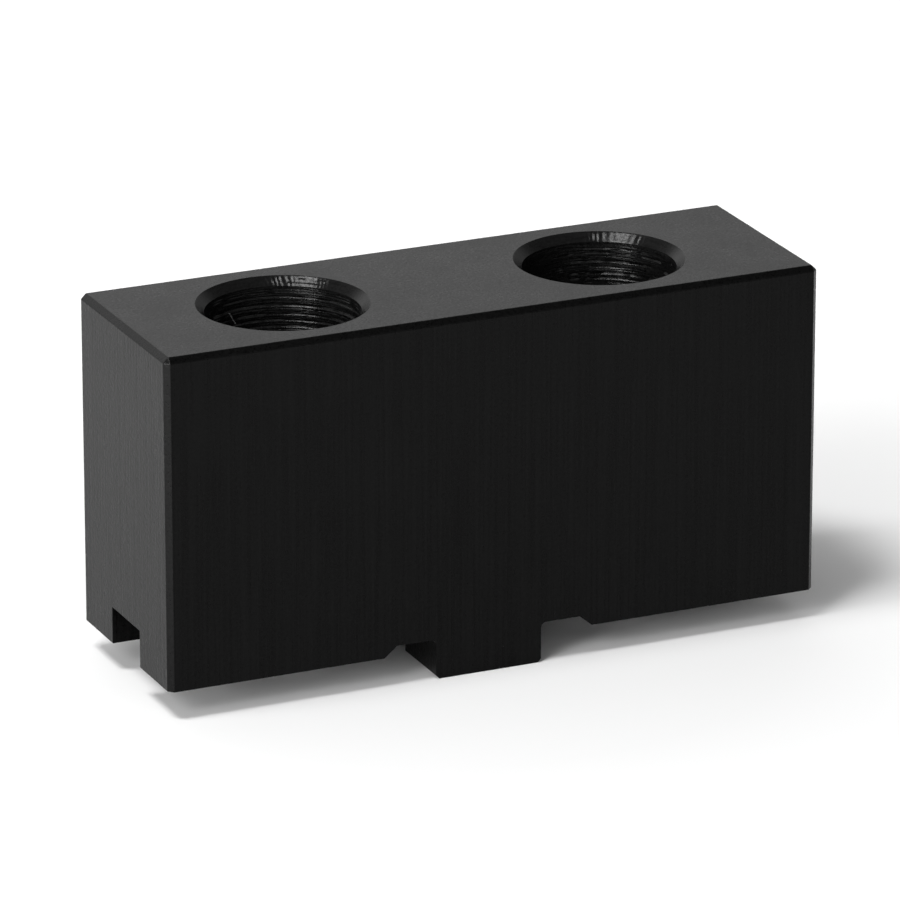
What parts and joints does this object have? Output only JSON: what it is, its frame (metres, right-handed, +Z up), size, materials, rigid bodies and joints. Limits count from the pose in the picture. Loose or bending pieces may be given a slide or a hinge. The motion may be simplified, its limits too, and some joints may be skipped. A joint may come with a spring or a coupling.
{
  "type": "soft top jaw",
  "caption": "Rectangular black steel soft jaw for a lathe chuck, with counterbored screw holes on top and a cross tongue and lengthwise groove underneath.",
  "frame": {"origin": "midway between the two screw holes, on the plane of the seat face that lies on the chuck's master jaw", "axes": "+X along the jaw towards the longer, gripping end; +Y across its width; +Z up, from the seat face to the top face with the screw heads"},
  "size_m": [0.078, 0.025, 0.0416],
  "materials": {
    "black_oxide_steel": "satin"
  },
  "bodies": {
    "root": {"soft_jaw": "black_oxide_steel"}
  },
  "joints": []
}
